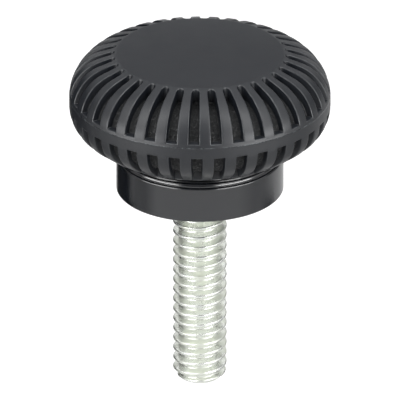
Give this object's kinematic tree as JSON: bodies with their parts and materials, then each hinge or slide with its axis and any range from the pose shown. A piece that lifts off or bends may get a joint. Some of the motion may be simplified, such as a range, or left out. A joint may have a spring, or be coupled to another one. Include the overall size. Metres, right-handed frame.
{
  "type": "clamping knob with threaded stud",
  "caption": "Black moulded mushroom knob with a pocketed, ribbed grip, a smooth domed top and a short hub, on a zinc-plated threaded steel stud.",
  "frame": {"origin": "centre of the hub's seat, on the stud's axis", "axes": "+Z along the axis from the stud up through the head; -Y towards one of the upper pockets"},
  "size_m": [0.0308, 0.0308, 0.0423],
  "materials": {
    "moulded_plastic": "satin black moulding with rough pocket floors",
    "plated_steel": "bright zinc plate with a faint yellow-green tint"
  },
  "bodies": {
    "root": {"knob_head": "moulded_plastic", "threaded_stud": "plated_steel"}
  },
  "joints": []
}
